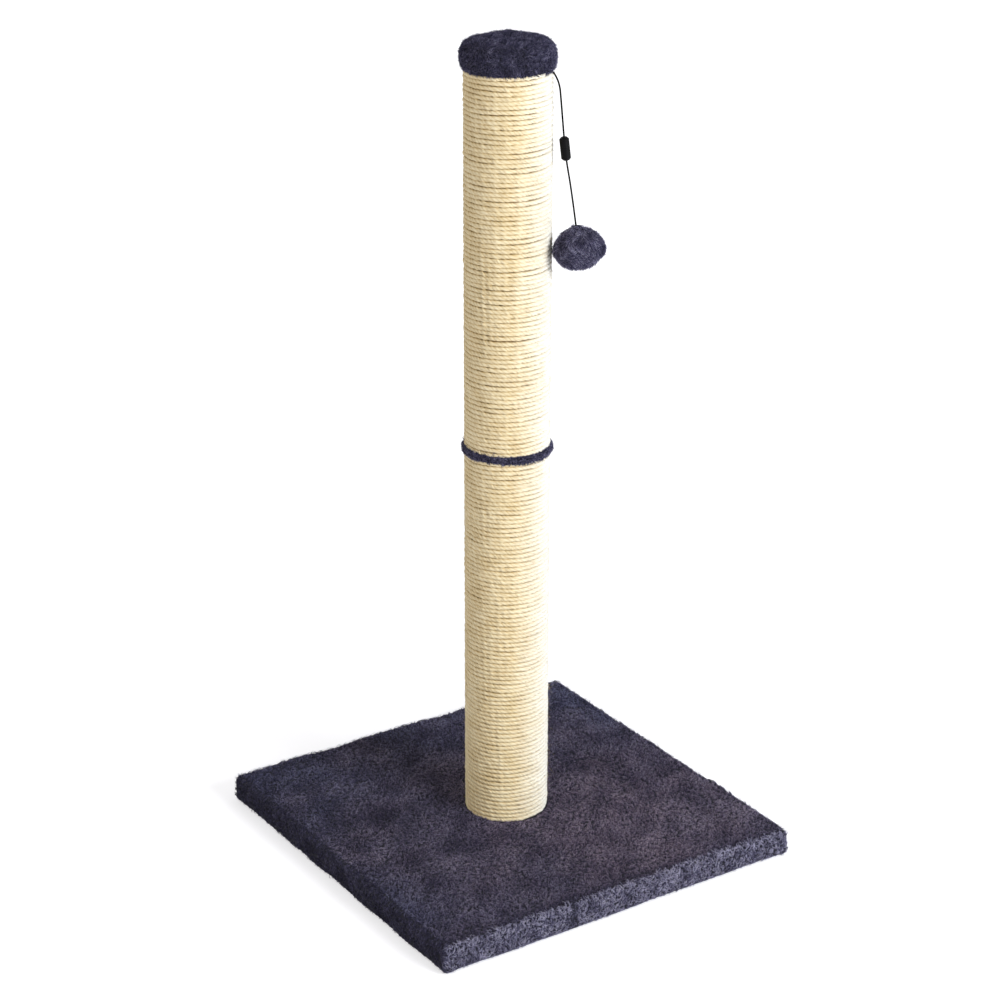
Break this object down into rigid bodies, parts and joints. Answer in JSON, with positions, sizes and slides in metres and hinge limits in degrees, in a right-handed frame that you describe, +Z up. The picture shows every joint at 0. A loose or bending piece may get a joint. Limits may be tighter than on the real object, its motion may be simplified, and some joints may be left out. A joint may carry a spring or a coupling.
{
  "type": "cat scratching post",
  "caption": "Round rope-wound scratching post on a square plush-covered base, with a plush cap and a ball hanging on a breakaway cord.",
  "frame": {"origin": "middle of the base's underside, where the post stands on the floor", "axes": "+Z up along the post; X and Y square to the base's sides, with the toy between +X and -Y"},
  "size_m": [0.412, 0.412, 0.8194],
  "materials": {
    "plush": "dark blue-grey plush with a short pile",
    "lining": "thin dark non-woven cloth",
    "chipboard": "raw chipboard",
    "plug_wood": "raw fibreboard",
    "tube_card": "spirally wound card",
    "rope": "twisted natural-fibre rope",
    "steel": "zinc-plated steel",
    "wadding": "polyester wadding",
    "cord": "black elastic cord",
    "connector": "black moulded plastic"
  },
  "bodies": {
    "stand": {"base_board": "chipboard", "base_plush": "plush", "base_lining": "lining", "base_staples": "steel", "base_bolt": "steel", "base_washer": "steel", "lower_bottom_nut": "steel", "lower_top_nut": "steel", "upper_bottom_nut": "steel", "joint_stud": "steel", "lower_tube": "tube_card", "upper_tube": "tube_card", "lower_bottom_plug": "plug_wood", "lower_top_plug": "plug_wood", "upper_bottom_plug": "plug_wood", "upper_top_plug": "plug_wood", "joint_ring": "plush", "cap_padding": "wadding", "cap_plush": "plush", "cap_staples": "steel", "toy_cord_anchor": "cord", "rope_lower_1": "rope", "rope_lower_2": "rope", "rope_lower_3": "rope", "rope_lower_4": "rope", "rope_upper_1": "rope", "rope_upper_2": "rope", "rope_upper_3": "rope", "rope_upper_4": "rope"},
    "toy_exit": {"toy_cord_exit": "cord"},
    "toy_line": {"toy_cord_upper": "cord", "toy_connector_socket": "connector"},
    "toy_plug": {"toy_connector_plug": "connector", "toy_cord_tail": "cord"},
    "toy_tether": {"toy_cord_lower": "cord"},
    "toy_ball": {"toy_ball_stuffing": "wadding", "toy_ball_plush": "plush"}
  },
  "joints": [
    {"name": "toy_sway", "type": "hinge", "parent": "stand", "child": "toy_exit", "pos_m": [0.02966, -0.02966, 0.7877], "axis": [0.7071, -0.7071, 0], "range_deg": [-75, 75]},
    {"name": "toy_swing", "type": "hinge", "parent": "toy_exit", "child": "toy_line", "pos_m": [0.03168, -0.03168, 0.78385], "axis": [-0.7071, -0.7071, 0], "range_deg": [0, 85]},
    {"name": "toy_release", "type": "slide", "parent": "toy_line", "child": "toy_plug", "axis": [0.0825, -0.0825, -0.9932], "range_m": [0, 0.012]},
    {"name": "toy_fold", "type": "hinge", "parent": "toy_plug", "child": "toy_tether", "pos_m": [0.03896, -0.03896, 0.70446], "axis": [-0.7071, -0.7071, 0], "range_deg": [0, 90]},
    {"name": "toy_spin", "type": "hinge", "parent": "toy_tether", "child": "toy_ball", "pos_m": [0.04791, -0.04791, 0.622], "axis": [0.0984, -0.0984, -0.9903], "range_deg": [-180, 180]}
  ]
}
